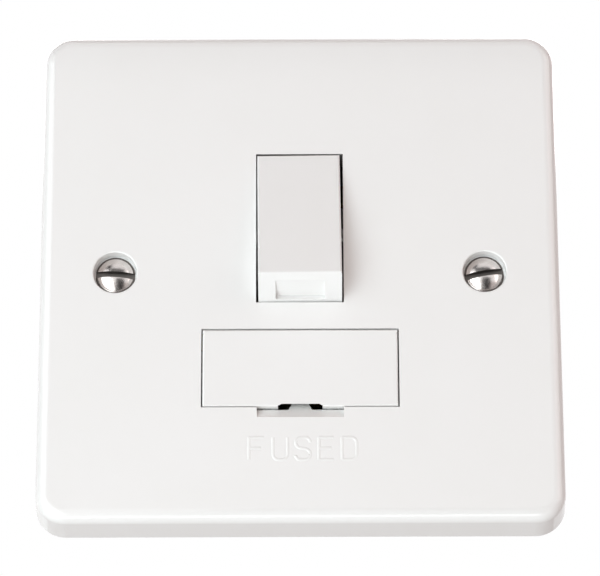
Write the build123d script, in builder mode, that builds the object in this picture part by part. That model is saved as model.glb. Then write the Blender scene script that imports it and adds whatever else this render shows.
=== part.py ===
from build123d import *
from math import atan2, cos, radians, sin, sqrt, tan
import os

os.makedirs("parts", exist_ok=True)

# Switched fused connection unit, single gang, in millimetres.
# X points right and Z up, the wall is the plane Y = 0 and the front faces -Y.
# The origin is the middle of the plate's back, on the line of the two fixing screws.

# Front plate
plate_size = 85.5
plate_depth = 8.0
plate_corner = 5.0
plate_edge_radius = 2.0
plate_draft = 3.0
plate_face = 2.5
plate_wall = 2.2
aperture_edge_radius = 0.25

# Fixing screws, M3.5 with a raised countersunk head
fixing_centres = 60.3
fixing_recess_diameter = 7.1
fixing_recess_depth = 1.8
fixing_hole_diameter = 4.2
fixing_boss_diameter = 9.2
boss_rib = 1.2
boss_rib_height = 3.6
fixing_head_diameter = 6.5
fixing_head_rim = 0.2
fixing_head_rise = 1.0
fixing_thread_diameter = 3.5
fixing_shank_diameter = 3.1
fixing_screw_length = 25.0
fixing_slot_width = 1.0
fixing_slot_depth = 1.2
fixing_slot_angles = (-3.0, 10.0)
countersink_angle = 90.0
countersink_gap = 0.02

# Rocker: it tips about trunnions, and rests with its lower end proud
rocker_z = 7.75
rocker_aperture_height = 26.2
rocker_width = 13.6
rocker_side_gap = 0.35
rocker_pivot_depth = 4.5
rocker_face_height = 7.25
rocker_tilt = 12.0
rocker_end_gap = 0.25
rocker_wall = 1.6
rocker_skirt = 2.0
rocker_edge_radius = 0.35
finger_recess_width = 8.0
finger_recess_depth = 0.8
finger_recess_from = 26.0
finger_recess_to = 9.0
collar_wall = 1.8
collar_depth = 4.3
trunnion_diameter = 3.0
trunnion_gap = 0.1
trunnion_side_gap = 0.25

# Plungers and see-saw blades, one for each pole
pole_offset = 3.0
plunger_diameter = 2.8
plunger_gap = 0.1
plunger_grip = 6.0
plunger_tip_gap = 0.15
socket_wall = 0.7
socket_drop = 1.5
spring_wire = 0.4
spring_turns = 4
spring_gap = 0.15
blade_width = 3.6
blade_thickness = 0.8
blade_arm = 9.0
blade_bend = 10.0
blade_seat_gap = 0.05
contact_reach = 8.0
contact_diameter = 2.6
contact_thickness = 0.6
contact_touch_gap = 0.05
saddle_height = 4.3
saddle_ear_height = 1.4
saddle_ear_width = 0.5
saddle_ear_gap = 0.1

# Fuse carrier: it slides out to the front, with the fuse in it
carrier_z = -16.63
carrier_aperture_height = 13.5
carrier_gap = 0.2
carrier_panel = 2.2
carrier_panel_lip = 1.0
carrier_edge_radius = 0.3
carrier_cheek = 2.0
carrier_cheek_height = 9.0
carrier_floor_gap = 0.4
carrier_lug = 1.6
carrier_lug_reach = 1.6
carrier_rib = 1.5
carrier_rib_gap = 0.4
carrier_cut_width = 7.2
carrier_cut_top_width = 6.1
carrier_cut_height = 0.35
carrier_cut_rise = 1.4
notch_width = 14.0
notch_height = 1.7
notch_depth = 1.4
tongue_width = 3.8
tongue_tip_width = 2.7
tongue_length = 1.9
tongue_root = 0.6
tongue_thickness = 1.0

# Fuse, 25.4 mm long
fuse_length = 25.4
fuse_cap_diameter = 6.35
fuse_cap_length = 6.3
fuse_cap_wall = 0.22
fuse_barrel_diameter = 5.88
fuse_fit = 0.02
fuse_y = 0.5
fuse_end_gap = 0.1
fuse_saddle_gap = 0.1
clip_width = 4.0
clip_thickness = 0.7
clip_gap = 0.08
clip_grip = 2.3
clip_lip = 1.2
clip_lip_spread = 0.8

# Rear moulding: its width and height follow from what it holds
moulding_corner = 3.0
moulding_wall = 1.8
moulding_front_gap = 0.2
floor_y = 9.0
floor_thickness = 1.8
bank_depth = 20.6
bank_inner_wall = 1.8
bank_edge_radius = 0.6
core_wall = 1.4
barrier_thickness = 1.0
barrier_half_length = 9.0
barrier_front_y = 0.0
guide_wall = 1.2
guide_gap = 0.3
post_thickness = 1.4
post_gap = 0.1

# Terminals, brass blocks with a wire bore and a clamping screw
terminal_width = 9.0
terminal_height = 8.0
terminal_depth = 10.0
terminal_pitch = 16.0
terminal_pocket_gap = 0.15
terminal_carrier_gap = 0.92
wire_bore_diameter = 4.6
wire_bore_depth = 5.2
wire_entry_diameter = 5.4
wire_entry_lead = 0.5
terminal_screw_diameter = 3.3
terminal_screw_length = 4.6
terminal_screw_tip_gap = 0.2
terminal_head_diameter = 4.8
terminal_head_height = 1.6
terminal_slot_width = 0.9
terminal_slot_depth = 0.8
screw_access_diameter = 5.4
thread_gap = 0.05

# Strips between contacts, clips and terminals
strip_thickness = 0.8
strip_width = 3.6
strip_bend_radius = 0.4
earth_strap_width = 2.6
earth_strap_gap = 1.35
earth_strap_pillar_gap = 0.5

# Assembly screws, thread-forming, from the back into the plate
assembly_z = 3.0
assembly_boss_diameter = 5.2
assembly_boss_gap = 0.2
assembly_boss_length = 4.5
assembly_hole_diameter = 2.6
assembly_pilot_diameter = 2.2
assembly_pilot_depth = 5.0
assembly_screw_diameter = 2.2
assembly_head_diameter = 4.8
assembly_head_height = 1.6
assembly_slot_width = 0.7
assembly_slot_depth = 0.8
assembly_engagement = 4.4

# Places that follow from these sizes
front_y = -plate_depth
plate_inside_y = front_y + plate_face
fixing_x = fixing_centres / 2
fixing_points = [(-fixing_x, 0), (fixing_x, 0)]
pivot_y = front_y + rocker_pivot_depth
aperture_radius = sqrt((rocker_aperture_height / 2) ** 2 + rocker_pivot_depth**2)
rocker_radius = aperture_radius - rocker_end_gap
rocker_aperture_width = rocker_width + 2 * rocker_side_gap
collar_width = rocker_aperture_width + 2 * collar_wall
collar_height = 2 * (aperture_radius + collar_wall)
collar_back_y = plate_inside_y + collar_depth
trunnion_slot = trunnion_diameter + 2 * trunnion_gap
cheek_outer = fuse_length / 2 + fuse_end_gap + carrier_cheek
panel_width = 2 * (cheek_outer + carrier_panel_lip)
panel_height = carrier_aperture_height - 2 * carrier_gap
carrier_aperture_width = panel_width + 2 * carrier_gap
carrier_bottom_z = carrier_z - carrier_aperture_height / 2
notch_bottom_z = carrier_bottom_z - notch_height
guide_inner = cheek_outer + carrier_lug_reach + guide_gap
guide_outer = guide_inner + guide_wall
earth_strap_side = guide_outer + earth_strap_gap + earth_strap_width / 2
moulding_width = 2 * (earth_strap_side + earth_strap_width / 2 + earth_strap_gap + moulding_wall)
assembly_x = moulding_width / 2 - moulding_wall - assembly_boss_gap - assembly_boss_diameter / 2
assembly_points = [(-assembly_x, assembly_z), (assembly_x, assembly_z)]
earth_strap_x = assembly_x - assembly_boss_diameter / 2 - earth_strap_pillar_gap - earth_strap_width / 2
joint_y = plate_inside_y + assembly_boss_length
moulding_front_y = plate_inside_y + moulding_front_gap
floor_back_y = floor_y + floor_thickness
strip_y = floor_y - strip_thickness
blade_pivot_y = floor_y - saddle_height
wire_y = floor_y + wire_bore_depth
terminal_back_y = floor_y + terminal_depth
pad_bottom_z = carrier_cheek_height / 2 - carrier_z + terminal_carrier_gap
pad_top_z = pad_bottom_z + terminal_height
upper_terminal_z = (pad_bottom_z + pad_top_z) / 2
bank_z = pad_bottom_z - terminal_pocket_gap - bank_inner_wall
moulding_height = 2 * (pad_top_z + terminal_pocket_gap + moulding_wall)
terminal_places = {
    "upper_earth_terminal": (-terminal_pitch, upper_terminal_z),
    "supply_live_terminal": (0, upper_terminal_z),
    "supply_neutral_terminal": (terminal_pitch, upper_terminal_z),
    "lower_earth_terminal": (-terminal_pitch, -upper_terminal_z),
    "load_neutral_terminal": (0, -upper_terminal_z),
    "load_live_terminal": (terminal_pitch, -upper_terminal_z),
}


def across(y):
    """The X-Z plane at depth y, facing the front."""
    return Plane.XZ.offset(-y)


# Workplanes that tip with the rocker and with the blades, at rest.
# In both, local x runs back into the unit and local y runs up the piece.
rest = radians(rocker_tilt)
rocker_plane = Plane((0, pivot_y, rocker_z), x_dir=(0, cos(rest), -sin(rest)), z_dir=(1, 0, 0))
bend = radians(blade_bend)
blade_plane = Plane((0, blade_pivot_y, rocker_z), x_dir=(0, cos(bend), sin(bend)), z_dir=(1, 0, 0))


def along_rocker(depth, x=0.0):
    """A plane square to the rocker's stem, facing back, at a depth from the pivot."""
    return Plane(rocker_plane.from_local_coords((depth, 0, x)), x_dir=(1, 0, 0), z_dir=rocker_plane.x_dir)


# Front plate: drafted tray with a rounded front edge
with BuildPart() as front_plate:
    with BuildSketch(across(0)):
        RectangleRounded(plate_size, plate_size, plate_corner)
    extrude(amount=plate_depth, taper=plate_draft)
    fillet(front_plate.edges().group_by(Axis.Y)[0], plate_edge_radius)
    with BuildSketch(across(0)):
        hollow = plate_size - 2 * plate_wall
        RectangleRounded(hollow, hollow, plate_corner - plate_wall)
    extrude(amount=plate_depth - plate_face, taper=plate_draft, mode=Mode.SUBTRACT)
    # Bosses behind the face: fixing screws, rocker collar, assembly screws
    with BuildSketch(across(plate_inside_y)):
        with Locations(*fixing_points):
            Circle(fixing_boss_diameter / 2)
    extrude(amount=plate_inside_y)
    rib_length = plate_size / 2 - plate_wall - fixing_x
    with BuildSketch(across(plate_inside_y)):
        with Locations(*[(side * (fixing_x + rib_length / 2), 0) for side in (-1, 1)]):
            Rectangle(rib_length, boss_rib)
    extrude(amount=-boss_rib_height)
    with BuildSketch(across(plate_inside_y)):
        with Locations((0, rocker_z)):
            RectangleRounded(collar_width, collar_height, collar_wall)
    extrude(amount=-collar_depth)
    with BuildSketch(across(plate_inside_y)):
        with Locations(*assembly_points):
            Circle(assembly_boss_diameter / 2)
    extrude(amount=-assembly_boss_length)
    # Rocker aperture, relieved inside about the pivot, and the slots that take its trunnions
    with BuildSketch(Plane.YZ):
        with Locations((pivot_y, rocker_z)):
            Circle(aperture_radius)
    extrude(amount=rocker_aperture_width / 2, both=True, mode=Mode.SUBTRACT)
    with BuildSketch(Plane.YZ):
        with Locations((pivot_y, rocker_z)):
            Circle(trunnion_slot / 2)
        with Locations(((pivot_y + collar_back_y) / 2, rocker_z)):
            Rectangle(collar_back_y - pivot_y, trunnion_slot)
    extrude(amount=collar_width / 2, both=True, mode=Mode.SUBTRACT)
    # Fuse carrier aperture, screwdriver notch and tongue
    with BuildSketch(across(front_y)):
        with Locations((0, carrier_z)):
            Rectangle(carrier_aperture_width, carrier_aperture_height)
    extrude(amount=-plate_face, mode=Mode.SUBTRACT)
    with BuildSketch(Plane.YZ):
        with BuildLine():
            Polyline(
                (front_y, notch_bottom_z),
                (front_y + notch_depth, carrier_bottom_z),
                (front_y + notch_depth, carrier_z),
                (front_y, carrier_z),
                close=True,
            )
        make_face()
    extrude(amount=notch_width / 2, both=True, mode=Mode.SUBTRACT)
    tongue_plane = Plane(
        (0, front_y + notch_depth, carrier_bottom_z),
        x_dir=(1, 0, 0),
        z_dir=(0, -notch_height, notch_depth),
    )
    with BuildSketch(tongue_plane):
        with BuildLine():
            Polyline(
                (-tongue_width / 2, -tongue_root),
                (tongue_width / 2, -tongue_root),
                (tongue_width / 2, 0),
                (tongue_tip_width / 2, tongue_length),
                (-tongue_tip_width / 2, tongue_length),
                (-tongue_width / 2, 0),
                close=True,
            )
        make_face()
    extrude(amount=-tongue_thickness)
    # Screw recesses, countersinks and pilot holes
    with BuildSketch(across(front_y)):
        with Locations(*fixing_points):
            Circle(fixing_recess_diameter / 2)
    extrude(amount=-fixing_recess_depth - fixing_head_rim, mode=Mode.SUBTRACT)
    with Locations(across(front_y + fixing_recess_depth + fixing_head_rim)):
        with Locations(*fixing_points):
            CounterSinkHole(
                fixing_hole_diameter / 2,
                fixing_head_diameter / 2 + countersink_gap,
                counter_sink_angle=countersink_angle,
            )
    with BuildSketch(across(joint_y)):
        with Locations(*assembly_points):
            Circle(assembly_pilot_diameter / 2)
    extrude(amount=assembly_pilot_depth, mode=Mode.SUBTRACT)
    mouth_edges = front_plate.faces().sort_by(Axis.Y)[0].inner_wires().edges()
    fillet(mouth_edges.filter_by(GeomType.CIRCLE), aperture_edge_radius)
front_plate.part.label = "front_plate"
export_step(front_plate.part, "parts/front_plate.step")

# Rear moulding: box with a floor, and a terminal bank along its top and bottom
with BuildPart() as rear_moulding:
    with BuildSketch(across(floor_back_y)):
        RectangleRounded(moulding_width, moulding_height, moulding_corner)
    extrude(amount=floor_back_y - moulding_front_y)
    for side in (-1, 1):
        bank_height = moulding_height / 2 - bank_z
        with BuildSketch(across(bank_depth)):
            RectangleRounded(moulding_width, moulding_height, moulding_corner)
            with Locations((0, side * (bank_z + bank_height / 2))):
                Rectangle(moulding_width, bank_height, mode=Mode.INTERSECT)
        extrude(amount=bank_depth - floor_y)
    fillet(rear_moulding.faces().sort_by(Axis.Y)[-2:].edges(), bank_edge_radius)
    with BuildSketch(across(floor_y)):
        RectangleRounded(
            moulding_width - 2 * moulding_wall,
            moulding_height - 2 * moulding_wall,
            moulding_corner - moulding_wall,
        )
    extrude(amount=floor_y - moulding_front_y, mode=Mode.SUBTRACT)
    # Terminal pockets, with a screw hole at the back and a wire entry in the outer wall
    with BuildSketch(across(floor_y)):
        with Locations(*terminal_places.values()):
            Rectangle(terminal_width + 2 * terminal_pocket_gap, terminal_height + 2 * terminal_pocket_gap)
    extrude(amount=-terminal_depth - terminal_pocket_gap, mode=Mode.SUBTRACT)
    with BuildSketch(across(bank_depth)):
        with Locations(*terminal_places.values()):
            Circle(screw_access_diameter / 2)
    extrude(amount=bank_depth - terminal_back_y, mode=Mode.SUBTRACT)
    for side in (-1, 1):
        with BuildSketch(Plane.XY.offset(side * moulding_height / 2)):
            with Locations(*[(x, wire_y) for x in (-terminal_pitch, 0, terminal_pitch)]):
                Circle(wire_entry_diameter / 2)
        extrude(amount=-side * (moulding_wall + terminal_pocket_gap), mode=Mode.SUBTRACT)
        outer_face = rear_moulding.faces().sort_by(Axis.Z)[-1 if side > 0 else 0]
        chamfer(outer_face.inner_wires().edges(), wire_entry_lead)
    # Cores between the terminals, open at the back, which leave a barrier on each side
    core_width = terminal_pitch - terminal_width - 2 * terminal_pocket_gap - 2 * core_wall
    core_height = moulding_height / 2 - bank_z - 2 * core_wall
    with BuildSketch(across(bank_depth)):
        with Locations(*[(sx * terminal_pitch / 2, sz * (bank_z + core_wall + core_height / 2))
                         for sx in (-1, 1) for sz in (-1, 1)]):
            Rectangle(core_width, core_height)
    extrude(amount=bank_depth - floor_back_y, mode=Mode.SUBTRACT)
    # Barrier between the poles, carrier guides, trunnion posts and assembly pillars
    with BuildSketch(across(floor_y)):
        with Locations((0, rocker_z)):
            Rectangle(barrier_thickness, 2 * barrier_half_length)
    extrude(amount=floor_y - barrier_front_y)
    with BuildSketch(across(floor_y)):
        with Locations(*[(side * (guide_inner + guide_wall / 2), carrier_z) for side in (-1, 1)]):
            Rectangle(guide_wall, carrier_cheek_height)
    extrude(amount=floor_y - moulding_front_y)
    with BuildSketch(across(floor_y)):
        with Locations(*[(side * (rocker_aperture_width + collar_wall) / 2, rocker_z) for side in (-1, 1)]):
            Rectangle(post_thickness, trunnion_diameter - 2 * post_gap)
    extrude(amount=floor_y - (pivot_y + trunnion_diameter / 2 + post_gap))
    with BuildSketch(across(floor_y)):
        with Locations(*assembly_points):
            Circle(assembly_boss_diameter / 2)
    extrude(amount=floor_y - joint_y)
    with BuildSketch(across(floor_back_y)):
        with Locations(*assembly_points):
            Circle(assembly_hole_diameter / 2)
    extrude(amount=floor_back_y - joint_y, mode=Mode.SUBTRACT)
rear_moulding.part.label = "rear_moulding"
export_step(rear_moulding.part, "parts/rear_moulding.step")

# Rocker: hollow, with ends turned about the pivot, trunnions and two spring sockets
with BuildPart() as rocker:
    with BuildSketch(rocker_plane):
        Circle(rocker_radius)
        with Locations(((rocker_skirt - rocker_face_height) / 2, 0)):
            Rectangle(rocker_face_height + rocker_skirt, 2 * rocker_radius, mode=Mode.INTERSECT)
    extrude(amount=rocker_width / 2, both=True)
    rocker_face = rocker.faces().sort_by(Axis(rocker_plane.origin, rocker_plane.x_dir))[0]
    fillet(rocker_face.edges(), rocker_edge_radius)
    with BuildSketch(rocker_plane):
        Circle(rocker_radius - rocker_wall)
        with Locations(((rocker_skirt - rocker_face_height + rocker_wall) / 2, 0)):
            Rectangle(
                rocker_face_height + rocker_skirt - rocker_wall, 2 * rocker_radius, mode=Mode.INTERSECT
            )
    extrude(amount=rocker_width / 2 - rocker_wall, both=True, mode=Mode.SUBTRACT)
    # A shallow finger recess in each end, deepest towards the plate
    recess_from = radians(finger_recess_from)
    recess_to = radians(finger_recess_to)
    recess_floor = rocker_radius - finger_recess_depth
    with BuildSketch(rocker_plane):
        for side in (-1, 1):
            with BuildLine():
                Polyline(
                    (-rocker_radius * sin(recess_from), side * rocker_radius * cos(recess_from)),
                    (-recess_floor * sin(recess_to), side * recess_floor * cos(recess_to)),
                    (-aperture_radius * sin(recess_to), side * aperture_radius * cos(recess_to)),
                    (-aperture_radius * sin(recess_from), side * aperture_radius * cos(recess_from)),
                    close=True,
                )
            make_face()
    extrude(amount=finger_recess_width / 2, both=True, mode=Mode.SUBTRACT)
    trunnion_end = collar_width / 2 - trunnion_side_gap
    for side in (-1, 1):
        with BuildSketch(Plane.YZ.offset(side * (rocker_width / 2 - rocker_wall))):
            with Locations((pivot_y, rocker_z)):
                Circle(trunnion_diameter / 2)
        extrude(amount=side * (trunnion_end - rocker_width / 2 + rocker_wall))
    socket_bore = plunger_diameter / 2 + plunger_gap
    with BuildSketch(along_rocker(rocker_wall - rocker_face_height)):
        with Locations((-pole_offset, 0), (pole_offset, 0)):
            Circle(socket_bore + socket_wall)
            Circle(socket_bore, mode=Mode.SUBTRACT)
    extrude(amount=rocker_face_height - rocker_wall + socket_drop)
rocker.part.label = "rocker"
export_step(rocker.part, "parts/rocker.step")

# Plungers, springs, blades and their tips, one set for each pole
blade_seat = strip_thickness / 2 + blade_seat_gap
blade_front = blade_pivot_y - blade_seat - blade_thickness / cos(bend)
plunger_reach = blade_front - pivot_y - plunger_tip_gap
plunger_radius = plunger_diameter / 2
plunger_dome = plunger_reach - plunger_radius
plunger_top = plunger_dome - plunger_grip
spring_seat = rocker_wall - rocker_face_height
spring_length = plunger_top - spring_seat - spring_wire - 2 * spring_gap
for pole, pole_x in (("live", -pole_offset), ("neutral", pole_offset)):
    with BuildPart() as plunger:
        with BuildSketch(along_rocker(plunger_top, pole_x)):
            Circle(plunger_radius)
        extrude(amount=plunger_grip)
        with Locations(along_rocker(plunger_dome, pole_x)):
            Sphere(plunger_radius)
    plunger.part.label = f"{pole}_plunger"
    export_step(plunger.part, f"parts/{pole}_plunger.step")

    with BuildPart() as plunger_spring:
        with BuildLine():
            coil = Helix(
                pitch=spring_length / spring_turns,
                height=spring_length,
                radius=plunger_radius - spring_wire,
                center=along_rocker(spring_seat + spring_wire / 2 + spring_gap, pole_x).origin,
                direction=rocker_plane.x_dir,
            )
        with BuildSketch(Plane(origin=coil @ 0, z_dir=coil % 0)):
            Circle(spring_wire / 2)
        sweep()
    plunger_spring.part.label = f"{pole}_plunger_spring"
    export_step(plunger_spring.part, f"parts/{pole}_plunger_spring.step")

    with BuildPart() as blade:
        with BuildSketch(blade_plane.offset(pole_x - blade_width / 2)):
            with BuildLine():
                Polyline(
                    (-blade_seat - blade_arm * sin(bend), -blade_arm * cos(bend)),
                    (-blade_seat, 0),
                    (-blade_seat - blade_arm * sin(bend), blade_arm * cos(bend)),
                )
                offset(amount=blade_thickness, side=Side.LEFT)
            make_face()
        extrude(amount=blade_width)
    blade.part.label = f"{pole}_blade"
    export_step(blade.part, f"parts/{pole}_blade.step")

    tip_point = blade_plane.from_local_coords(
        (-blade_seat - contact_reach * sin(bend), contact_reach * cos(bend), pole_x)
    )
    with BuildPart() as blade_tip:
        with BuildSketch(Plane(tip_point, x_dir=(1, 0, 0), z_dir=(0, cos(2 * bend), sin(2 * bend)))):
            Circle(contact_diameter / 2)
        extrude(amount=contact_thickness)
    blade_tip.part.label = f"{pole}_blade_tip"
    export_step(blade_tip.part, f"parts/{pole}_blade_tip.step")

# Fixed contacts: each steps up from the floor to meet its blade's tip
tip_front_y = blade_pivot_y - blade_seat * cos(bend) + contact_thickness + contact_touch_gap
table_y = tip_front_y + contact_thickness
contact_z = rocker_z + contact_reach
table_end_z = contact_z - contact_diameter / 2 - strip_bend_radius
step_z = contact_z + contact_diameter / 2 + strip_bend_radius + strip_thickness
for pole, pole_x, terminal_x, turn_z in (
    ("live", -pole_offset, 0, upper_terminal_z),
    ("neutral", pole_offset, terminal_pitch, step_z + strip_width / 2),
):
    with BuildPart() as fixed_contact:
        with BuildSketch(Plane.YZ.offset(pole_x - strip_width / 2)):
            with BuildLine():
                FilletPolyline(
                    (strip_y, turn_z + strip_width / 2),
                    (strip_y, step_z),
                    (table_y, step_z),
                    (table_y, table_end_z),
                    radius=strip_bend_radius,
                )
                offset(amount=strip_thickness, side=Side.LEFT)
            make_face()
        extrude(amount=strip_width)
        with BuildSketch(across(floor_y)):
            with BuildLine():
                Polyline((pole_x, turn_z), (terminal_x, turn_z), (terminal_x, pad_top_z))
            trace(line_width=strip_width)
        extrude(amount=strip_thickness)
    fixed_contact.part.label = f"{pole}_fixed_contact"
    export_step(fixed_contact.part, f"parts/{pole}_fixed_contact.step")

with BuildPart() as fixed_contact_tips:
    with BuildSketch(across(table_y)):
        with Locations((-pole_offset, contact_z), (pole_offset, contact_z)):
            Circle(contact_diameter / 2)
    extrude(amount=contact_thickness)
fixed_contact_tips.part.label = "fixed_contact_tips"
export_step(fixed_contact_tips.part, "parts/fixed_contact_tips.step")

# Saddle strips: an eared upright whose round edge a blade rocks on, and a run to the clip or the terminal
clip_x = (fuse_length - fuse_cap_length) / 2
bend_z = carrier_z + carrier_aperture_height / 2 + strip_width
saddle_routes = {
    "live": [(-pole_offset, rocker_z + strip_thickness), (-pole_offset, bend_z), (-clip_x, bend_z),
             (-clip_x, carrier_z - fuse_cap_diameter / 2)],
    "neutral": [(pole_offset, rocker_z + strip_thickness), (pole_offset, -bank_z), (0, -bank_z),
                (0, -pad_top_z)],
}
ear_inner = blade_width / 2 + saddle_ear_gap
ear_outer = ear_inner + saddle_ear_width
for pole, pole_x in (("live", -pole_offset), ("neutral", pole_offset)):
    with BuildPart() as saddle_strip:
        with BuildSketch(across(floor_y)):
            with BuildLine():
                Polyline(*saddle_routes[pole])
            trace(line_width=strip_width)
        extrude(amount=strip_thickness)
        with BuildSketch(Plane.YZ.offset(pole_x)):
            with Locations(((blade_pivot_y + floor_y) / 2, rocker_z)):
                Rectangle(saddle_height, strip_thickness)
            with Locations((blade_pivot_y, rocker_z)):
                Circle(strip_thickness / 2)
        extrude(amount=ear_outer, both=True)
        for side in (-1, 1):
            with BuildSketch(Plane.YZ.offset(pole_x + side * ear_inner)):
                with Locations((blade_pivot_y - saddle_ear_height / 2, rocker_z)):
                    Rectangle(saddle_ear_height, strip_thickness)
            extrude(amount=side * saddle_ear_width)
    saddle_strip.part.label = f"{pole}_saddle_strip"
    export_step(saddle_strip.part, f"parts/{pole}_saddle_strip.step")

# Strip from the second fuse clip to the load live terminal
with BuildPart() as fused_live_strip:
    with BuildSketch(across(floor_y)):
        with BuildLine():
            Polyline(
                (clip_x, carrier_z + fuse_cap_diameter / 2),
                (clip_x, -pad_bottom_z - strip_width / 2),
                (terminal_pitch, -pad_bottom_z - strip_width / 2),
                (terminal_pitch, -pad_top_z),
            )
        trace(line_width=strip_width)
    extrude(amount=strip_thickness)
fused_live_strip.part.label = "fused_live_strip"
export_step(fused_live_strip.part, "parts/fused_live_strip.step")

# Earth strap: joins the two earth terminals, passing outside the carrier guide
with BuildPart() as earth_strap:
    with BuildSketch(across(floor_y)):
        with BuildLine():
            Polyline(
                (-earth_strap_x, pad_top_z),
                (-earth_strap_x, bend_z),
                (-earth_strap_side, bend_z),
                (-earth_strap_side, -pad_bottom_z - earth_strap_width / 2),
                (-earth_strap_x, -pad_bottom_z - earth_strap_width / 2),
                (-earth_strap_x, -pad_top_z),
            )
        trace(line_width=earth_strap_width)
    extrude(amount=strip_thickness)
earth_strap.part.label = "earth_strap"
export_step(earth_strap.part, "parts/earth_strap.step")

# Fuse clips: a spring channel on each strip, open to the front with spread lips
clip_inner = fuse_cap_diameter / 2 + clip_gap
clip_front_y = fuse_y - clip_grip
for name, side in (("supply_fuse_clip", -1), ("load_fuse_clip", 1)):
    with BuildPart() as fuse_clip:
        with BuildSketch(Plane.YZ.offset(side * clip_x - clip_width / 2)):
            with BuildLine():
                Polyline(
                    (clip_front_y - clip_lip, carrier_z - clip_inner - clip_lip_spread),
                    (clip_front_y, carrier_z - clip_inner),
                    (strip_y - clip_thickness, carrier_z - clip_inner),
                    (strip_y - clip_thickness, carrier_z + clip_inner),
                    (clip_front_y, carrier_z + clip_inner),
                    (clip_front_y - clip_lip, carrier_z + clip_inner + clip_lip_spread),
                )
                offset(amount=clip_thickness, side=Side.RIGHT)
            make_face()
        extrude(amount=clip_width)
    fuse_clip.part.label = name
    export_step(fuse_clip.part, f"parts/{name}.step")

# Fuse carrier: flush panel with two cheeks, stop lugs and two saddles for the fuse
panel_back_y = front_y + carrier_panel
panel_bottom_z = carrier_z - panel_height / 2
carrier_back_y = floor_y - carrier_floor_gap
with BuildPart() as fuse_carrier:
    with BuildSketch(across(panel_back_y)):
        with Locations((0, carrier_z)):
            Rectangle(panel_width, panel_height)
    extrude(amount=carrier_panel)
    fillet(fuse_carrier.faces().sort_by(Axis.Y)[0].edges(), carrier_edge_radius)
    with BuildSketch(across(panel_back_y)):
        with Locations(*[(side * (cheek_outer - carrier_cheek / 2), carrier_z) for side in (-1, 1)]):
            Rectangle(carrier_cheek, carrier_cheek_height)
    extrude(amount=panel_back_y - carrier_back_y)
    with BuildSketch(across(carrier_back_y)):
        with Locations(*[(side * (cheek_outer + carrier_lug_reach / 2), carrier_z) for side in (-1, 1)]):
            Rectangle(carrier_lug_reach, carrier_cheek_height)
    extrude(amount=carrier_lug)
    # Saddles that hold the fuse by its barrel, open upwards
    saddle_bore = fuse_barrel_diameter / 2 + fuse_saddle_gap
    saddle_back_y = fuse_y + saddle_bore + carrier_rib
    saddle_bottom_z = carrier_z - saddle_bore - carrier_rib
    rib_x = fuse_length / 2 - fuse_cap_length - carrier_rib_gap - carrier_rib
    with BuildSketch(Plane.YZ.offset(rib_x)):
        with Locations(((panel_back_y + saddle_back_y) / 2, (saddle_bottom_z + carrier_z) / 2)):
            Rectangle(saddle_back_y - panel_back_y, carrier_z - saddle_bottom_z)
        with Locations((fuse_y, carrier_z)):
            Circle(saddle_bore, mode=Mode.SUBTRACT)
    extrude(amount=carrier_rib)
    mirror(about=Plane.YZ)
    # Cut-out in the lower edge that lets a screwdriver lever the carrier forward
    cut_top = carrier_cut_height * cos(atan2(carrier_cut_rise, carrier_panel))
    cut_plane = Plane(
        (0, front_y, panel_bottom_z), x_dir=(1, 0, 0), z_dir=(0, -carrier_panel, -carrier_cut_rise)
    )
    with BuildSketch(cut_plane):
        with BuildLine():
            Polyline(
                (-carrier_cut_width / 2, -carrier_cut_rise),
                (carrier_cut_width / 2, -carrier_cut_rise),
                (carrier_cut_width / 2, 0),
                (carrier_cut_top_width / 2, cut_top),
                (-carrier_cut_top_width / 2, cut_top),
                (-carrier_cut_width / 2, 0),
                close=True,
            )
        make_face()
    extrude(amount=2 * carrier_panel, both=True, mode=Mode.SUBTRACT)
fuse_carrier.part.label = "fuse_carrier"
export_step(fuse_carrier.part, "parts/fuse_carrier.step")

# Fuse: ceramic barrel and two end caps
with BuildPart() as fuse_barrel:
    with BuildSketch(Plane.YZ):
        with Locations((fuse_y, carrier_z)):
            Circle(fuse_barrel_diameter / 2)
    extrude(amount=fuse_length / 2 - fuse_cap_wall, both=True)
fuse_barrel.part.label = "fuse_barrel"
export_step(fuse_barrel.part, "parts/fuse_barrel.step")

with BuildPart() as fuse_caps:
    for side in (-1, 1):
        with BuildSketch(Plane.YZ.offset(side * (fuse_length / 2 - fuse_cap_length))):
            with Locations((fuse_y, carrier_z)):
                Circle(fuse_cap_diameter / 2)
        extrude(amount=side * fuse_cap_length)
    with BuildSketch(Plane.YZ):
        with Locations((fuse_y, carrier_z)):
            Circle(fuse_barrel_diameter / 2 + fuse_fit)
    extrude(amount=fuse_length / 2 - fuse_cap_wall + fuse_fit, both=True, mode=Mode.SUBTRACT)
fuse_caps.part.label = "fuse_caps"
export_step(fuse_caps.part, "parts/fuse_caps.step")

# Terminals: drilled brass blocks, and their screws backed off to leave the bores open
for name, (x, z) in terminal_places.items():
    with BuildPart() as terminal:
        with BuildSketch(across(terminal_back_y)):
            with Locations((x, z)):
                Rectangle(terminal_width, terminal_height)
        extrude(amount=terminal_depth)
        with BuildSketch(Plane.XY.offset(z)):
            with Locations((x, wire_y)):
                Circle(wire_bore_diameter / 2)
        extrude(amount=terminal_height / 2, both=True, mode=Mode.SUBTRACT)
        with BuildSketch(across(terminal_back_y)):
            with Locations((x, z)):
                Circle(terminal_screw_diameter / 2 + thread_gap)
        extrude(amount=terminal_back_y - wire_y, mode=Mode.SUBTRACT)
    terminal.part.label = name
    export_step(terminal.part, f"parts/{name}.step")

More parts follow.
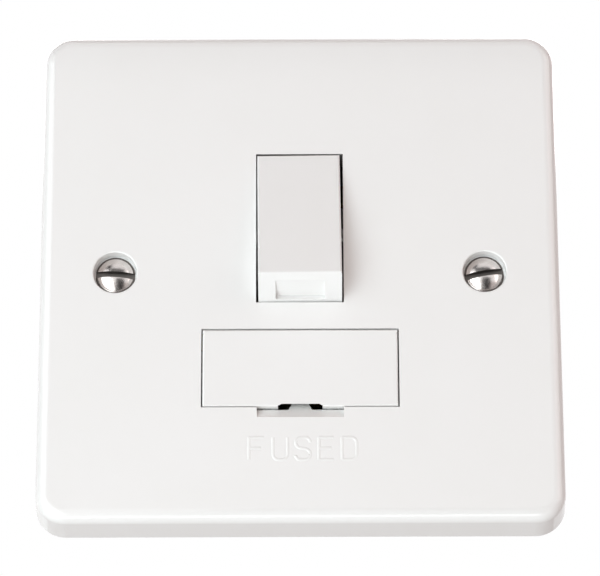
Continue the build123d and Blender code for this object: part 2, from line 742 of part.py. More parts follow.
screw_tip_y = wire_y + wire_bore_diameter / 2 + terminal_screw_tip_gap
screw_head_y = screw_tip_y + terminal_screw_length
with BuildPart() as terminal_screws:
    with BuildSketch(across(screw_head_y)):
        with Locations(*terminal_places.values()):
            Circle(terminal_screw_diameter / 2)
    extrude(amount=terminal_screw_length)
    with BuildSketch(across(screw_head_y)):
        with Locations(*terminal_places.values()):
            Circle(terminal_head_diameter / 2)
    extrude(amount=-terminal_head_height)
    with BuildSketch(across(screw_head_y + terminal_head_height)):
        with Locations(*terminal_places.values()):
            Rectangle(terminal_head_diameter, terminal_slot_width)
    extrude(amount=terminal_slot_depth, mode=Mode.SUBTRACT)
terminal_screws.part.label = "terminal_screws"
export_step(terminal_screws.part, "parts/terminal_screws.step")

# Fixing screws: raised slotted heads in the plate's recesses, threads behind the plate
head_y = front_y + fixing_recess_depth
head_radius = fixing_head_diameter / 2
cone_depth = (head_radius - fixing_shank_diameter / 2) / tan(radians(countersink_angle / 2))
with BuildPart() as fixing_screws:
    for x, slot_angle in zip((-fixing_x, fixing_x), fixing_slot_angles):
        with BuildSketch(Plane.YZ.offset(x)):
            with BuildLine():
                dome = ThreePointArc(
                    (head_y - fixing_head_rise, 0),
                    (head_y - fixing_head_rise * (1 - (2 / 3) ** 2), head_radius * 2 / 3),
                    (head_y, head_radius),
                )
                Polyline(
                    dome @ 1,
                    (head_y + fixing_head_rim, head_radius),
                    (head_y + fixing_head_rim + cone_depth, fixing_shank_diameter / 2),
                    (0, fixing_shank_diameter / 2),
                    (0, fixing_thread_diameter / 2),
                    (head_y + fixing_screw_length, fixing_thread_diameter / 2),
                    (head_y + fixing_screw_length, 0),
                    dome @ 0,
                )
            make_face()
        revolve(axis=Axis((x, 0, 0), (0, 1, 0)))
        with BuildSketch(across(head_y - fixing_head_rise)):
            with Locations((x, 0)):
                Rectangle(fixing_head_diameter, fixing_slot_width, rotation=slot_angle)
        extrude(amount=-fixing_slot_depth, mode=Mode.SUBTRACT)
fixing_screws.part.label = "fixing_screws"
export_step(fixing_screws.part, "parts/fixing_screws.step")

# Assembly screws: from the back of the moulding, through its pillars, into the plate's bosses
with BuildPart() as assembly_screws:
    with BuildSketch(across(floor_back_y)):
        with Locations(*assembly_points):
            Circle(assembly_screw_diameter / 2 - thread_gap)
    extrude(amount=floor_back_y - joint_y + assembly_engagement)
    with BuildSketch(across(floor_back_y)):
        with Locations(*assembly_points):
            Circle(assembly_head_diameter / 2)
    extrude(amount=-assembly_head_height)
    with BuildSketch(across(floor_back_y + assembly_head_height)):
        with Locations(*assembly_points):
            Rectangle(assembly_head_diameter, assembly_slot_width)
            Rectangle(assembly_slot_width, assembly_head_diameter)
    extrude(amount=assembly_slot_depth, mode=Mode.SUBTRACT)
assembly_screws.part.label = "assembly_screws"
export_step(assembly_screws.part, "parts/assembly_screws.step")
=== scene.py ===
import math

import bmesh
import bpy
from mathutils import Matrix, Vector


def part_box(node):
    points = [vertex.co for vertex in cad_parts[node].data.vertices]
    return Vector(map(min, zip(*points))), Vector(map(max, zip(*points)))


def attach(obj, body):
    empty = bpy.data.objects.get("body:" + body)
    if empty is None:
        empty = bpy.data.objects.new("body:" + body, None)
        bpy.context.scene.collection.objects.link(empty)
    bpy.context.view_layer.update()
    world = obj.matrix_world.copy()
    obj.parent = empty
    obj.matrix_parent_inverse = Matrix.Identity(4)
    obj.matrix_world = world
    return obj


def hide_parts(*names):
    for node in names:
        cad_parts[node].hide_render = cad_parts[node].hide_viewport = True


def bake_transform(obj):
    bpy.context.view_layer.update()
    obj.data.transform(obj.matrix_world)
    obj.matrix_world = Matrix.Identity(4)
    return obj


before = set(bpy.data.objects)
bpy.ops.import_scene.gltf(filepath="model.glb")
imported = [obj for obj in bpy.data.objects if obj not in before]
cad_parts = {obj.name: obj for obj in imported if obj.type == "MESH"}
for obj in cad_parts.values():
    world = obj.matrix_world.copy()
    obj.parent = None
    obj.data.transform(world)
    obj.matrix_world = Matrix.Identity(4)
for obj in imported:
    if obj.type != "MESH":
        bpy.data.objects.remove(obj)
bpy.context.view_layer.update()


# Front plate: one compression moulding in white urea, the hard plastic of wiring accessories.
# The tool is polished and the face has no texture, so it mirrors the studio faintly.
# The CAD solid has its shape, so only the finish is added.
MM = 0.001


def linear(hex_colour):
    """A written sRGB colour such as F0EEEC as the linear colour that a shader takes."""
    channels = [int(hex_colour[i:i + 2], 16) / 255 for i in (0, 2, 4)]
    return [c / 12.92 if c <= 0.04045 else ((c + 0.055) / 1.055) ** 2.4 for c in channels] + [1.0]


def add_node(tree, kind, inputs=None, **settings):
    """Adds one node: its settings, then its inputs, each a plain value or another node's output."""
    node = tree.nodes.new(kind)
    for name, value in settings.items():
        setattr(node, name, value)
    for name, value in (inputs or {}).items():
        if isinstance(value, bpy.types.NodeSocket):
            tree.links.new(value, node.inputs[name])
        else:
            node.inputs[name].default_value = value
    return node


def make_finish(name, colours, mottle, grain, roughness, relief, **shader):
    """A surface whose colour drifts between two shades over patches of the mottle size, whose
    gloss varies with a finer grain, and which has a slight relief. Sizes are millimetres, one
    for each axis where a rolled or drawn surface runs further along than across."""
    material = bpy.data.materials.new(name)
    material.use_nodes = True
    tree = material.node_tree
    tree.nodes.clear()
    place = add_node(tree, "ShaderNodeTexCoord")
    patterns = []
    for sizes, detail, detail_strength in ((mottle, 3.0, 0.55), (grain, 4.0, 0.6)):
        scaled = add_node(tree, "ShaderNodeMapping", {
            "Vector": place.outputs["Object"], "Scale": [1 / (size * MM) for size in sizes],
        })
        patterns.append(add_node(tree, "ShaderNodeTexNoise", {
            "Vector": scaled.outputs["Vector"], "Scale": 1.0, "Detail": detail, "Roughness": detail_strength,
        }))
    clouds, fine = patterns
    shade = add_node(tree, "ShaderNodeMix", {
        "Factor": clouds.outputs["Fac"], "A": linear(colours[0]), "B": linear(colours[1]),
    }, data_type="RGBA")
    gloss = add_node(tree, "ShaderNodeMapRange", {
        "Value": fine.outputs["Fac"], "From Min": 0.25, "From Max": 0.75,
        "To Min": roughness[0], "To Max": roughness[1],
    })
    bump = add_node(tree, "ShaderNodeBump", {
        "Height": fine.outputs["Fac"], "Strength": 1.0, "Distance": relief * MM,
    })
    principled = add_node(tree, "ShaderNodeBsdfPrincipled", {
        "Base Color": shade.outputs["Result"], "Roughness": gloss.outputs["Result"],
        "Normal": bump.outputs["Normal"], **shader,
    })
    add_node(tree, "ShaderNodeOutputMaterial", {"Surface": principled.outputs["BSDF"]})
    return material


def dress(material, *nodes):
    """Gives CAD nodes their material in place of the plain one they came with."""
    for name in nodes:
        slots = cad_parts[name].data.materials
        slots.clear()
        slots.append(material)


# Urea: a dense, clean white with faint flow clouds and a polish that varies a little.
white_urea = make_finish(
    "polished_white_urea", ("F1F1F0", "EEEEEC"), mottle=(14, 14, 14), grain=(2.4, 2.4, 2.4),
    roughness=(0.05, 0.08), relief=0.001, IOR=1.57,
)
dress(white_urea, "front_plate")


# Word under the fuse carrier: raised with the plate in the same moulding, in thin round strokes
# that an engraver cuts into the tool. It says what the unit is, as ON and OFF do on a switch.
stroke_radius = 0.6
stroke_rise = 0.07
stroke_sides = 20
letter_height = 3.75
letter_top = -28.55
letter_width = 2.35
corner_radius = 0.95
corner_points = 8
weld_distance = 0.0005
letter_lefts = (-8.25, -4.4, -0.75, 2.95, 6.7)
letter_strokes = {
    "F": [[(0, 0), (0, 1)], [(0, 1), (1, 1)], [(0, 0.52), (0.8, 0.52)]],
    "U": [[(0, 1), (0, 0), (1, 0), (1, 1)]],
    "S": [[(1, 0.78), (1, 1), (0, 1), (0, 0.56), (1, 0.46), (1, 0), (0, 0), (0, 0.2)]],
    "E": [[(0, 0), (0, 1)], [(0, 1), (1, 1)], [(0, 0.52), (0.85, 0.52)], [(0, 0), (1, 0)]],
    "D": [[(0, 0), (0, 1)], [(0, 1), (1, 1), (1, 0), (0, 0)]],
}


def add_object(name, data):
    """Puts a mesh, a lamp or a camera into the scene as an object at the origin."""
    made = bpy.data.objects.new(name, data)
    bpy.context.scene.collection.objects.link(made)
    return made


def new_group(name, sizes):
    """An empty Geometry Nodes tree that takes a geometry and named sizes, and its input node."""
    tree = bpy.data.node_groups.new(name, "GeometryNodeTree")
    tree.interface.new_socket("Geometry", in_out="INPUT", socket_type="NodeSocketGeometry")
    for size, kind in sizes.items():
        tree.interface.new_socket(size, in_out="INPUT", socket_type=kind)
    tree.interface.new_socket("Geometry", in_out="OUTPUT", socket_type="NodeSocketGeometry")
    return tree, add_node(tree, "NodeGroupInput")


def grown(piece, tree, values):
    """Runs a tree on an object with these values and leaves the result as its plain mesh, free of
    faces with no area, which doubled points and many-sided faces would leave."""
    name = piece.name
    modifier = piece.modifiers.new(tree.name, "NODES")
    modifier.node_group = tree
    inputs = [item for item in tree.interface.items_tree if item.in_out == "INPUT"]
    sockets = {item.name: item.identifier for item in inputs}
    for size, value in values.items():
        modifier[sockets[size]] = value
    evaluated = piece.evaluated_get(bpy.context.evaluated_depsgraph_get())
    mesh = bpy.data.meshes.new_from_object(evaluated)
    mesh.name = name
    shape = bmesh.new()
    shape.from_mesh(mesh)
    bmesh.ops.dissolve_degenerate(shape, dist=weld_distance * MM, edges=shape.edges)
    many_sided = [face for face in shape.faces if len(face.verts) > 4]
    bmesh.ops.triangulate(shape, faces=many_sided, quad_method="BEAUTY", ngon_method="BEAUTY")
    shape.to_mesh(mesh)
    shape.free()
    bpy.data.objects.remove(piece)
    return add_object(name, mesh)


stroke_tree, given = new_group("raised_strokes", {
    "Stroke Radius": "NodeSocketFloat", "Corner Radius": "NodeSocketFloat", "Material": "NodeSocketMaterial",
})
as_curve = add_node(stroke_tree, "GeometryNodeMeshToCurve", {"Mesh": given.outputs["Geometry"]})
rounded = add_node(stroke_tree, "GeometryNodeFilletCurve", {
    "Curve": as_curve.outputs["Curve"], "Count": corner_points,
    "Radius": given.outputs["Corner Radius"], "Limit Radius": True,
}, mode="POLY")
round_cut = add_node(stroke_tree, "GeometryNodeCurvePrimitiveCircle", {
    "Resolution": stroke_sides, "Radius": given.outputs["Stroke Radius"],
})
ridge = add_node(stroke_tree, "GeometryNodeCurveToMesh", {
    "Curve": rounded.outputs["Curve"], "Profile Curve": round_cut.outputs["Curve"], "Fill Caps": True,
})
real = add_node(stroke_tree, "GeometryNodeRealizeInstances", {"Geometry": ridge.outputs["Mesh"]})
smooth = add_node(stroke_tree, "GeometryNodeSetShadeSmooth", {"Geometry": real.outputs["Geometry"]})
coloured = add_node(stroke_tree, "GeometryNodeSetMaterial", {
    "Geometry": smooth.outputs["Geometry"], "Material": given.outputs["Material"],
})
add_node(stroke_tree, "NodeGroupOutput", {"Geometry": coloured.outputs["Geometry"]})

plate_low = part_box("front_plate")[0]
stroke_y = plate_low.y + (stroke_radius - stroke_rise) * MM
word_points = []
word_edges = []
for letter, left in zip("FUSED", letter_lefts):
    for stroke in letter_strokes[letter]:
        first = len(word_points)
        for across, up in stroke:
            height = letter_top - (1 - up) * letter_height
            word_points.append(((left + across * letter_width) * MM, stroke_y, height * MM))
        word_edges += [(i, i + 1) for i in range(first, len(word_points) - 1)]
word_lines = bpy.data.meshes.new("raised_word")
word_lines.from_pydata(word_points, word_edges, [])
raised_word = grown(add_object("raised_word", word_lines), stroke_tree, {
    "Stroke Radius": stroke_radius * MM, "Corner Radius": corner_radius * MM, "Material": white_urea,
})
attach(raised_word, "housing")


# Rocker: a separate urea moulding that tips on two trunnions in the back of the plate.
# It hangs a little askew and to the left in its clearance, so the gaps at its sides taper.
rocker_skew = 0.5
rocker_shift = -0.06
rocker_low, rocker_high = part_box("rocker")
rocker_middle = Vector((0, 0, (rocker_low.z + rocker_high.z) / 2))


def merged_copy(node, name, move):
    """A CAD node's mesh, its loose triangles joined and the whole moved by a matrix, as a piece of
    its own that keeps the surface normals of the CAD shape."""
    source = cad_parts[node].data
    normals = [move.to_3x3() @ corner.vector for corner in source.corner_normals]
    shape = bmesh.new()
    shape.from_mesh(source)
    doubles = bmesh.ops.find_doubles(shape, verts=shape.verts, dist=weld_distance * MM)
    bmesh.ops.weld_verts(shape, targetmap=doubles["targetmap"])
    bmesh.ops.transform(shape, matrix=move, verts=shape.verts)
    mesh = bpy.data.meshes.new(name)
    shape.to_mesh(mesh)
    shape.free()
    mesh.normals_split_custom_set(normals)
    return add_object(name, mesh)


skew = Matrix.Rotation(math.radians(-rocker_skew), 4, "Y")
hung = Matrix.Translation(rocker_middle + Vector((rocker_shift * MM, 0, 0)))
rocker_moulding = merged_copy(
    "rocker", "rocker_moulding", hung @ skew @ Matrix.Translation(-rocker_middle)
)
rocker_moulding.data.materials.append(white_urea)
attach(rocker_moulding, "rocker")
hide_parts("rocker")


# Natural nylon: a milky cream with a waxy, half matt skin.
natural_nylon = make_finish(
    "natural_nylon", ("E9E4D6", "DFD9C8"), mottle=(3, 3, 3), grain=(0.5, 0.5, 0.5),
    roughness=(0.42, 0.55), relief=0.006, IOR=1.53,
)

# Drawn wire: a mid grey metal with a soft, slightly streaky shine.
spring_wire = make_finish(
    "drawn_spring_wire", ("A7A9AB", "8E9092"), mottle=(1.5, 1.5, 1.5), grain=(0.1, 0.4, 0.1),
    roughness=(0.22, 0.34), relief=0.002, Metallic=1.0,
)
dress(natural_nylon, "live_plunger", "neutral_plunger")
for pole in ("live", "neutral"):
    coil = merged_copy(f"{pole}_plunger_spring", f"{pole}_plunger_coil", Matrix.Identity(4))
    coil.data.materials.append(spring_wire)
    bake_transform(coil)
    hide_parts(f"{pole}_plunger_spring")


# Rear moulding: the insulating body behind the plate, injection moulded in grey filled plastic.
# The tool is spark eroded there, so the surface is dull with a fine even texture.
grey_filled = make_finish(
    "grey_filled_moulding", ("C6C6C2", "BEBEBA"), mottle=(9, 9, 4), grain=(0.35, 0.35, 0.35),
    roughness=(0.46, 0.6), relief=0.012, IOR=1.54,
)
dress(grey_filled, "rear_moulding")


# Contact strips, blades and fuse clips: pressed from rolled brass strip, so they show faint
# lines along the rolling and a warm, slightly uneven tarnish.
rolled_brass = make_finish(
    "rolled_brass_strip", ("D9B873", "C39F58"), mottle=(4, 4, 4), grain=(0.15, 0.3, 3.0),
    roughness=(0.24, 0.38), relief=0.003, Metallic=1.0,
)
dress(
    rolled_brass, "live_blade", "neutral_blade", "live_fixed_contact", "neutral_fixed_contact",
    "live_saddle_strip", "neutral_saddle_strip", "fused_live_strip", "earth_strap",
    "supply_fuse_clip", "load_fuse_clip",
)


# Contact tips: small silver rivets in the blades and the fixed contacts, where the current is
# made and broken. They are pressed bright and a little dulled by air, and whiter than the brass.
contact_silver = make_finish(
    "contact_silver", ("EDEBE6", "D5D2CA"), mottle=(1.2, 1.2, 1.2), grain=(0.2, 0.2, 0.2),
    roughness=(0.2, 0.34), relief=0.003, Metallic=1.0,
)
dress(contact_silver, "live_blade_tip", "neutral_blade_tip", "fixed_contact_tips")


# Terminals: brass blocks sawn from drawn bar and drilled for the wire, with the lines of the
# drawing along their length.
drawn_brass = make_finish(
    "drawn_brass_bar", ("DDBE7A", "CBA860"), mottle=(5, 5, 5), grain=(0.2, 0.2, 2.4),
    roughness=(0.22, 0.36), relief=0.004, Metallic=1.0,
)
terminals = [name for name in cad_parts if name.endswith("_terminal")]
dress(drawn_brass, *terminals)


# Terminal screws: cheese heads in turned brass, slotted, backed off so that the bores are open.
# Their places are the CAD screws'; the thread is a rolled ridge that follows a helix.
head_segments = 64
sharp_angle = 35.0
terminal_screw_radius = 1.65
terminal_screw_pitch = 0.6
terminal_head_radius = 2.4
terminal_head_height = 1.6
terminal_head_round = 0.25
terminal_round_share = 0.3
terminal_slot = (6.0, 0.9, 0.8)
terminal_columns = (-16.0, 0.0, 16.0)
thread_depth = 0.3
thread_sides = 4
thread_points_per_turn = 24


def turned(name, outline, dull_shaded_from):
    """A blank turned about Z from (radius, height) points in millimetres, ends on the axis. Its faces beyond
    the given radius are marked as left dull by the turning tool, for a finish that may also darken them as
    painted shade."""
    shape = bmesh.new()
    points = [shape.verts.new((radius * MM, 0, height * MM)) for radius, height in outline]
    edges = [shape.edges.new(pair) for pair in zip(points, points[1:])]
    bmesh.ops.spin(
        shape, geom=points + edges, cent=(0, 0, 0), axis=(0, 0, 1), angle=2 * math.pi, steps=head_segments,
    )
    bmesh.ops.remove_doubles(shape, verts=shape.verts, dist=weld_distance * MM)
    bmesh.ops.recalc_face_normals(shape, faces=shape.faces)
    mesh = bpy.data.meshes.new(name)
    shape.to_mesh(mesh)
    shape.free()
    dull = mesh.attributes.new("dull", "BOOLEAN", "FACE")
    dull.data.foreach_set("value", [math.hypot(*face.center.xy) > dull_shaded_from * MM for face in mesh.polygons])
    return add_object(name, mesh)


screw_tree, given = new_group("slotted_screws", {
    "Blank": "NodeSocketObject", "Head Top": "NodeSocketFloat", "Slot Size": "NodeSocketVector",
    "Thread Radius": "NodeSocketFloat", "Thread Depth": "NodeSocketFloat", "Thread Turns": "NodeSocketFloat",
    "Thread Pitch": "NodeSocketFloat", "Thread End": "NodeSocketFloat",
    "Material": "NodeSocketMaterial", "Dull Material": "NodeSocketMaterial",
})
blank = add_node(screw_tree, "GeometryNodeObjectInfo", {"Object": given.outputs["Blank"]})
saw = add_node(screw_tree, "GeometryNodeMeshCube", {"Size": given.outputs["Slot Size"]})
# The saw's faces are marked dull too; on the fixing screws the dull finish is darkened as painted shade.
cutter = add_node(screw_tree, "GeometryNodeStoreNamedAttribute", {
    "Geometry": saw.outputs["Mesh"], "Name": "dull", "Value": True,
}, data_type="BOOLEAN", domain="FACE")
at_top = add_node(screw_tree, "ShaderNodeCombineXYZ", {"Z": given.outputs["Head Top"]})
slot_cut = add_node(screw_tree, "GeometryNodeTransform", {
    "Geometry": cutter.outputs["Geometry"], "Translation": at_top.outputs["Vector"],
})
slotted = add_node(screw_tree, "GeometryNodeMeshBoolean", {
    "Mesh 1": blank.outputs["Geometry"], "Mesh 2": slot_cut.outputs["Geometry"],
}, operation="DIFFERENCE", solver="EXACT")
thread_line = add_node(screw_tree, "ShaderNodeMath", {
    0: given.outputs["Thread Radius"], 1: given.outputs["Thread Depth"],
}, operation="SUBTRACT")
thread_length = add_node(screw_tree, "ShaderNodeMath", {
    0: given.outputs["Thread Turns"], 1: given.outputs["Thread Pitch"],
}, operation="MULTIPLY")
helix = add_node(screw_tree, "GeometryNodeCurveSpiral", {
    "Resolution": thread_points_per_turn, "Rotations": given.outputs["Thread Turns"],
    "Start Radius": thread_line.outputs["Value"], "End Radius": thread_line.outputs["Value"],
    "Height": thread_length.outputs["Value"],
})
upright = add_node(screw_tree, "GeometryNodeSetCurveNormal", {"Curve": helix.outputs["Curve"]}, mode="Z_UP")
flank = add_node(screw_tree, "GeometryNodeCurvePrimitiveCircle", {
    "Resolution": thread_sides, "Radius": given.outputs["Thread Depth"],
})
ridge = add_node(screw_tree, "GeometryNodeCurveToMesh", {
    "Curve": upright.outputs["Curve"], "Profile Curve": flank.outputs["Curve"], "Fill Caps": True,
})
at_end = add_node(screw_tree, "ShaderNodeCombineXYZ", {"Z": given.outputs["Thread End"]})
thread = add_node(screw_tree, "GeometryNodeTransform", {
    "Geometry": ridge.outputs["Mesh"], "Translation": at_end.outputs["Vector"],
})
screw = add_node(screw_tree, "GeometryNodeJoinGeometry", {"Geometry": slotted.outputs["Mesh"]})
screw_tree.links.new(thread.outputs["Geometry"], screw.inputs["Geometry"])
turn = add_node(screw_tree, "GeometryNodeInputNamedAttribute", {"Name": "turn"}, data_type="FLOAT_VECTOR")
placed = add_node(screw_tree, "GeometryNodeInstanceOnPoints", {
    "Points": given.outputs["Geometry"], "Instance": screw.outputs["Geometry"],
    "Rotation": turn.outputs["Attribute"],
})
real = add_node(screw_tree, "GeometryNodeRealizeInstances", {"Geometry": placed.outputs["Instances"]})
coloured = add_node(screw_tree, "GeometryNodeSetMaterial", {
    "Geometry": real.outputs["Geometry"], "Material": given.outputs["Material"],
})
# Faces marked dull take the dull material, which on the fixing screws paints the shade of the slot and of
# the gap round the head.
dull = add_node(screw_tree, "GeometryNodeInputNamedAttribute", {"Name": "dull"}, data_type="BOOLEAN")
dulled = add_node(screw_tree, "GeometryNodeSetMaterial", {
    "Geometry": coloured.outputs["Geometry"], "Selection": dull.outputs["Attribute"],
    "Material": given.outputs["Dull Material"],
})
add_node(screw_tree, "NodeGroupOutput", {"Geometry": dulled.outputs["Geometry"]})


def screws(name, blank, places, turns, head_top, slot, radius, pitch, start, end, finishes):
    """Screws at these places, from one blank, with a slot of a length, width and depth sawn in the head and
    a thread from start to end along the shank. The finishes are those of the bright faces and of the dull
    ones, where a darker dull finish paints the shade of the slot and of the gap round the head."""
    points = bpy.data.meshes.new(name)
    points.from_pydata([tuple(v * MM for v in place) for place in places], [], [])
    facing = points.attributes.new("turn", "FLOAT_VECTOR", "POINT")
    facing.data.foreach_set("vector", [v for angles in turns for v in angles])
    length, width, depth = slot
    made = grown(add_object(name, points), screw_tree, {
        "Blank": blank, "Head Top": head_top * MM,
        "Slot Size": (length * MM, width * MM, 2 * depth * MM),
        "Thread Radius": radius * MM, "Thread Depth": thread_depth * MM,
        "Thread Turns": (start - end) / pitch, "Thread Pitch": pitch * MM, "Thread End": end * MM,
        "Material": finishes[0], "Dull Material": finishes[1],
    })
    bpy.data.objects.remove(blank)
    made.data.shade_smooth()
    made.data.set_sharp_from_angle(angle=math.radians(sharp_angle))
    return made


# Turned brass: a brighter yellow than the bar, with the fine marks of the tool.
turned_brass = make_finish(
    "turned_brass", ("E0C27F", "CDAA62"), mottle=(2, 2, 2), grain=(0.12, 0.12, 0.12),
    roughness=(0.2, 0.32), relief=0.002, Metallic=1.0,
)
screw_low, screw_high = (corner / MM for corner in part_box("terminal_screws"))
terminal_row = screw_high.z - terminal_head_radius
head_face = screw_high.y - terminal_head_height
tip = screw_low.y - head_face
root = terminal_screw_radius - thread_depth
round_middle = terminal_head_round * terminal_round_share
terminal_blank = turned("terminal_screw_blank", [
    (0, terminal_head_height),
    (terminal_head_radius - terminal_head_round, terminal_head_height),
    (terminal_head_radius - round_middle, terminal_head_height - round_middle),
    (terminal_head_radius, terminal_head_height - terminal_head_round),
    (terminal_head_radius, 0),
    (root, 0),
    (root, tip + thread_depth),
    (root - thread_depth, tip),
    (0, tip),
], dull_shaded_from=terminal_head_radius)
terminal_places = [(x, head_face, side * terminal_row) for side in (1, -1) for x in terminal_columns]
terminal_screws = screws(
    "terminal_screw_set", terminal_blank, terminal_places, [(-math.pi / 2, 0, 0)] * len(terminal_places),
    head_top=terminal_head_height, slot=terminal_slot, radius=terminal_screw_radius,
    pitch=terminal_screw_pitch, start=-thread_depth, end=tip + thread_depth,
    finishes=(turned_brass, turned_brass),
)
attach(terminal_screws, "housing")
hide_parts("terminal_screws")


# Fuse and carrier: the carrier is a white moulding with a flush front panel, and holds a
# cartridge fuse with a ceramic barrel and two plated end caps.
dress(white_urea, "fuse_carrier")

# Fired ceramic: an unglazed, chalky off-white.
fired_ceramic = make_finish(
    "fired_ceramic", ("EEEAE0", "E3DED2"), mottle=(2.5, 2.5, 2.5), grain=(0.25, 0.25, 0.25),
    roughness=(0.4, 0.52), relief=0.006, IOR=1.58,
)
dress(fired_ceramic, "fuse_barrel")

# Nickel plated caps: a pale metal with a soft shine, streaked where it was drawn over a punch.
plated_cap = make_finish(
    "nickel_plated_cap", ("CFCDC8", "BDBBB5"), mottle=(2, 2, 2), grain=(1.2, 0.2, 0.2),
    roughness=(0.16, 0.28), relief=0.002, Metallic=1.0,
)
dress(plated_cap, "fuse_caps")


# Assembly screws: thread-forming steel screws, driven from the back of the moulding through its
# pillars into the plate. The zinc plating gives them a bluish, slightly clouded grey.
zinc_plate = make_finish(
    "zinc_plated_steel", ("C4C7C9", "ADB0B3"), mottle=(2, 2, 2), grain=(0.3, 0.3, 0.3),
    roughness=(0.26, 0.4), relief=0.003, Metallic=1.0,
)
dress(zinc_plate, "assembly_screws")


# Fixing screws: two M3.5 machine screws in plated steel, with raised slotted heads whose edge is
# rounded off. They are supplied in the plate and go into the wall box.
fixing_head_radius = 3.25
fixing_head_rise = 1.0
fixing_head_rim = 0.2
fixing_head_shoulder = 0.35
fixing_shank_radius = 1.55
fixing_thread_radius = 1.75
fixing_thread_pitch = 0.6
fixing_thread_lead = 0.1
fixing_slot = (8.0, 1.0, 1.2)
fixing_slot_turns = (-3.0, 10.0)
dome_points = 14
shoulder_angles = (30, 50, 70, 90)

# Bright nickel: a warm, slightly clouded mirror.
nickel_plate = make_finish(
    "bright_nickel_plate", ("E3DCD9", "D8D1CE"), mottle=(3, 3, 3), grain=(0.5, 0.5, 0.5),
    roughness=(0.16, 0.26), relief=0.0015, Metallic=1.0,
)

# Sawn nickel: the slot and the rounded edge are rougher under the plating, and their colour is darkened as
# painted shade, which stands in for the shade in the slot and in the gap round the head.
shaded_sawn_nickel = make_finish(
    "sawn_nickel_plate", ("7C7673", "625D5A"), mottle=(0.8, 0.8, 0.8), grain=(0.3, 0.3, 0.3),
    roughness=(0.4, 0.6), relief=0.006, Metallic=1.0,
)
fix_low, fix_high = (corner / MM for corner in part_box("fixing_screws"))
fixing_x = fix_high.x - fixing_head_radius
dome_top = -fix_low.y
rim_top = dome_top - fixing_head_rise
rim_foot = rim_top - fixing_head_rim
cone_foot = rim_foot - (fixing_head_radius - fixing_shank_radius)
screw_end = -fix_high.y
dome_radius = (fixing_head_radius ** 2 + fixing_head_rise ** 2) / (2 * fixing_head_rise)
shoulder_radius = fixing_head_radius - fixing_head_shoulder
dome_angle = math.asin(shoulder_radius / dome_radius)
dome = [
    (dome_radius * math.sin(dome_angle * i / dome_points),
     dome_top - dome_radius * (1 - math.cos(dome_angle * i / dome_points)))
    for i in range(dome_points + 1)
]
shoulder_top = dome[-1][1]
shoulder_drop = shoulder_top - rim_top
shoulder = [
    (shoulder_radius + fixing_head_shoulder * math.sin(turn), rim_top + shoulder_drop * math.cos(turn))
    for turn in (math.radians(angle) for angle in shoulder_angles)
]
thread_root = fixing_thread_radius - thread_depth
# From the shoulder outwards the head takes the dull finish, whose dark colour is painted shade of the gap
# round the head.
fixing_blank = turned("fixing_screw_blank", dome + shoulder + [
    (fixing_head_radius, rim_foot),
    (fixing_shank_radius, cone_foot),
    (fixing_shank_radius, 0.0),
    (thread_root, -fixing_thread_lead),
    (thread_root, screw_end + thread_depth),
    (thread_root - thread_depth, screw_end),
    (0, screw_end),
], dull_shaded_from=shoulder_radius)
fixing_screws = screws(
    "fixing_screw_pair", fixing_blank, [(-fixing_x, 0, 0), (fixing_x, 0, 0)],
    [(math.pi / 2, math.radians(-angle), 0) for angle in fixing_slot_turns],
    head_top=dome_top, slot=fixing_slot, radius=fixing_thread_radius, pitch=fixing_thread_pitch,
    start=-thread_depth, end=screw_end + 2 * thread_depth, finishes=(nickel_plate, shaded_sawn_nickel),
)
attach(fixing_screws, "housing")
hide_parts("fixing_screws")


# Floor: a plain sheet of matt paper well below the unit, which is shown as it hangs on a wall.
# Paper is a pale, even white. It is lifted a little where it is seen, so that it stays pale.
floor_level = -0.75
floor_width = 12.0
floor_lift = 0.36


def flat_sheet(name, width, height, level=0.0):
    """A flat sheet of this size in metres, about the Z axis at this level."""
    corners = ((-1, -1), (1, -1), (1, 1), (-1, 1))
    mesh = bpy.data.meshes.new(name)
    mesh.from_pydata([(x * width / 2, y * height / 2, level) for x, y in corners], [], [(0, 1, 2, 3)])
    return add_object(name, mesh)


def seen_rays(tree):
    """One for rays that show a thing to the eye, directly, in a reflection or through something
    clear, and nought for those that only carry light to a surface."""
    rays = add_node(tree, "ShaderNodeLightPath")
    seen = add_node(tree, "ShaderNodeMath", {
        0: rays.outputs["Is Camera Ray"], 1: rays.outputs["Is Glossy Ray"],
    }, operation="MAXIMUM")
    seen_through = add_node(tree, "ShaderNodeMath", {
        0: seen.outputs["Value"], 1: rays.outputs["Is Transmission Ray"],
    }, operation="MAXIMUM")
    return seen_through.outputs["Value"]


floor = flat_sheet("floor", floor_width, floor_width, floor_level)
pale_floor = bpy.data.materials.new("pale_floor")
pale_floor.use_nodes = True
floor.data.materials.append(pale_floor)
paper = pale_floor.node_tree
paper.nodes.clear()
lift = add_node(paper, "ShaderNodeMath", {0: seen_rays(paper), 1: floor_lift}, operation="MULTIPLY")
lifted = add_node(paper, "ShaderNodeEmission", {
    "Color": linear("FFFFFF"), "Strength": lift.outputs["Value"],
})
matt = add_node(paper, "ShaderNodeBsdfDiffuse", {"Color": linear("EBF1F2")})
both = add_node(paper, "ShaderNodeAddShader", {0: matt.outputs["BSDF"], 1: lifted.outputs["Emission"]})
add_node(paper, "ShaderNodeOutputMaterial", {"Surface": both.outputs["Shader"]})


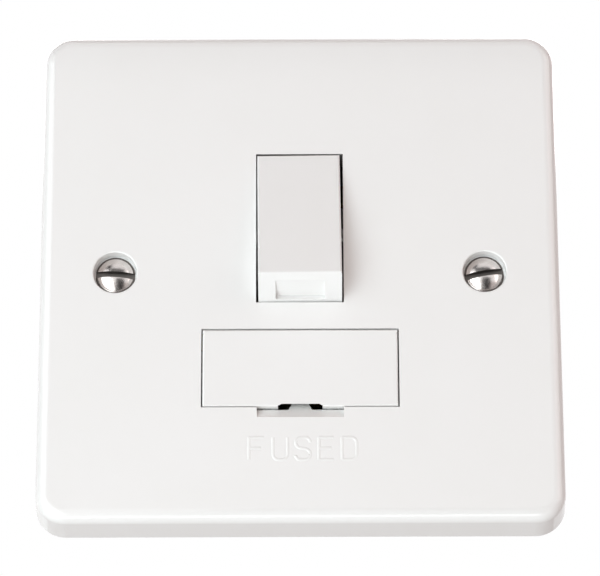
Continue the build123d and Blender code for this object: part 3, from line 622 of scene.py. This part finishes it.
# Studio: white all round where it is seen, directly or in a reflection, and a weak warm fill where
# it lights the object. A large soft box stands at the lower left, as the shadow of the rocker tells,
# with weaker ones round it and two above the back. Dark cards give bright metal something to show.
world = bpy.data.worlds.new("studio")
bpy.context.scene.world = world
world.use_nodes = True
sky = world.node_tree
sky.nodes.clear()
fill = add_node(sky, "ShaderNodeBackground", {"Color": linear("FFDAD3"), "Strength": 0.25})
white = add_node(sky, "ShaderNodeBackground", {"Color": linear("FFFFFF"), "Strength": 1.0})
choice = add_node(sky, "ShaderNodeMixShader", {
    0: seen_rays(sky), 1: fill.outputs["Background"], 2: white.outputs["Background"],
})
add_node(sky, "ShaderNodeOutputWorld", {"Surface": choice.outputs["Shader"]})


def facing_object(thing, place):
    """Stands a lamp or card at a place, turned to the object's middle."""
    thing.location = place
    thing.rotation_euler = (-Vector(place)).to_track_quat("-Z", "Y").to_euler()


def soft_box(name, place, width, height, watts, colour):
    """A soft box of this size in metres, which is seen in reflections but not by the camera."""
    lamp = bpy.data.lights.new(name, "AREA")
    lamp.shape = "RECTANGLE"
    lamp.size = width
    lamp.size_y = height
    lamp.energy = watts
    lamp.color = linear(colour)[:3]
    box = add_object(name, lamp)
    box.visible_camera = False
    facing_object(box, place)


soft_box("key_box", (-0.5, -0.7, -0.29), width=0.8, height=0.8, watts=5.75, colour="EFFBFE")
soft_box("side_box", (-0.64, -0.64, 0.24), width=0.76, height=0.4, watts=1.9, colour="F6FCFF")
soft_box("low_box", (-0.16, -0.27, -0.58), width=0.8, height=0.12, watts=1.2, colour="F8FAFA")
soft_box("right_box", (0.76, -0.42, 0.26), width=0.7, height=0.7, watts=2.3, colour="FFF5F2")
for side, x in (("right", 0.38), ("left", -0.38)):
    soft_box(f"back_{side}_box", (x, 0.65, 0.65), width=0.6, height=0.6, watts=3.2, colour="FFFFFF")

# Dark cloth: a soft near-black that takes nearly all light.
dark_cloth = bpy.data.materials.new("dark_cloth")
dark_cloth.use_nodes = True
cloth_shader = dark_cloth.node_tree.nodes["Principled BSDF"]
cloth_shader.inputs["Base Color"].default_value = linear("2A2A2A")
cloth_shader.inputs["Roughness"].default_value = 0.9


def dark_card(name, place, width, height):
    """A card of dark cloth that shows only in reflections."""
    card = flat_sheet(name, width, height)
    card.data.materials.append(dark_cloth)
    for ray in ("visible_camera", "visible_shadow", "visible_diffuse"):
        setattr(card, ray, False)
    facing_object(card, place)


dark_card("dark_card", (0.17, -0.85, -0.26), width=0.44, height=0.8)
dark_card("dark_ceiling", (0.0, -0.88, 0.6), width=0.9, height=0.3)
dark_card("dark_canopy", (-0.5, -0.5, 0.75), width=0.6, height=0.3)


# Camera: square on from below with a long lens, as the unit was photographed. Its place, turn
# and focal length were fitted to the outline and the screw recesses in the photo.
camera_yaw = math.radians(-0.07)
camera_pitch = math.radians(-21.085)
camera_roll = math.radians(-0.203)
camera_distance = 609.9 * MM
camera_target = Vector((0.028, 0.0, 0.226)) * MM
focal_pixels = 3691.3
frame_width = 600
sensor_width = 36.0
away = Vector((
    math.cos(camera_pitch) * math.sin(camera_yaw),
    -math.cos(camera_pitch) * math.cos(camera_yaw),
    math.sin(camera_pitch),
))
right = Vector((0, 0, 1)).cross(away).normalized()
up = away.cross(right)
rolled_right = math.cos(camera_roll) * right + math.sin(camera_roll) * up
rolled_up = -math.sin(camera_roll) * right + math.cos(camera_roll) * up
lens = bpy.data.cameras.new("photo_camera")
lens.sensor_fit = "HORIZONTAL"
lens.sensor_width = sensor_width
lens.lens = focal_pixels / frame_width * sensor_width
lens.clip_start = 0.01
camera = add_object("photo_camera", lens)
turned_to_object = Matrix((rolled_right, rolled_up, away)).transposed()
camera.matrix_world = Matrix.LocRotScale(camera_target + away * camera_distance, turned_to_object, None)
bpy.context.scene.camera = camera
bpy.context.scene.view_settings.view_transform = "Standard"
